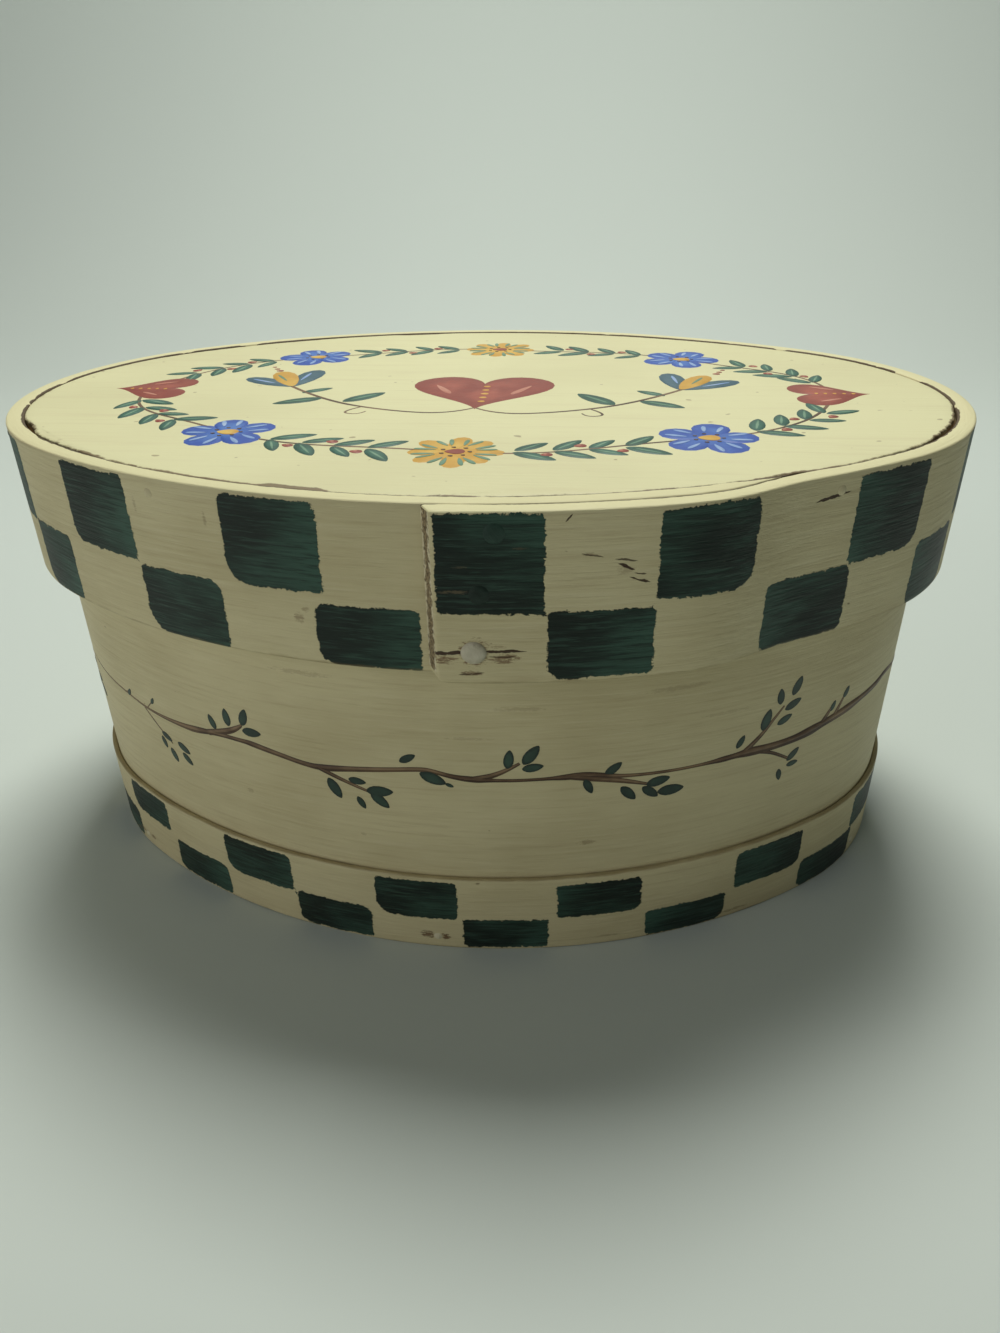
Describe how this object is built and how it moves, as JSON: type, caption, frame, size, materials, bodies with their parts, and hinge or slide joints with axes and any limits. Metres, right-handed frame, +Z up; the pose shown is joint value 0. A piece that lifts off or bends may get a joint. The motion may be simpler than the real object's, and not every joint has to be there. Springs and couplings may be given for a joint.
{
  "type": "oval wooden box",
  "caption": "Oval bentwood box with a tacked, lift-off lid, a foot hoop, cream paint, green checks and a twig border.",
  "frame": {"origin": "middle of the base board's underside, on the ground, under the middle of the oval", "axes": "+Z up, +X to the right along the oval's length, the lid's lapped front faces -Y"},
  "size_m": [0.22, 0.1586, 0.1081],
  "materials": {
    "painted_board": "hand-painted cream over wood, antiqued, with a painted wreath",
    "painted_strip": "cream paint over grain, antiqued, with brushed green checks",
    "painted_wall": "cream paint over grain with a painted twig border; bare inside",
    "painted_hoop": "cream paint with brushed green checks, worn to brown at its edges",
    "bare_board": "bare sanded pale wood",
    "painted_tack": "painted over, worn at the rim",
    "painted_brad": "painted over, dull",
    "rusty_brad": "dull, rust brown through thin paint"
  },
  "bodies": {
    "box": {"wall_strip": "painted_wall", "base_board": "bare_board", "foot_hoop": "painted_hoop", "wall_scarf_tacks": "painted_tack", "base_brads": "rusty_brad", "hoop_joint_brads": "rusty_brad"},
    "lid": {"lid_top_board": "painted_board", "lid_strip": "painted_strip", "lid_lap_tacks": "painted_tack", "lid_board_brads": "painted_brad"}
  },
  "joints": [
    {"name": "lid_lift", "type": "slide", "parent": "box", "child": "lid", "axis": [0, 0, 1], "range_m": [0, 0.07]}
  ]
}
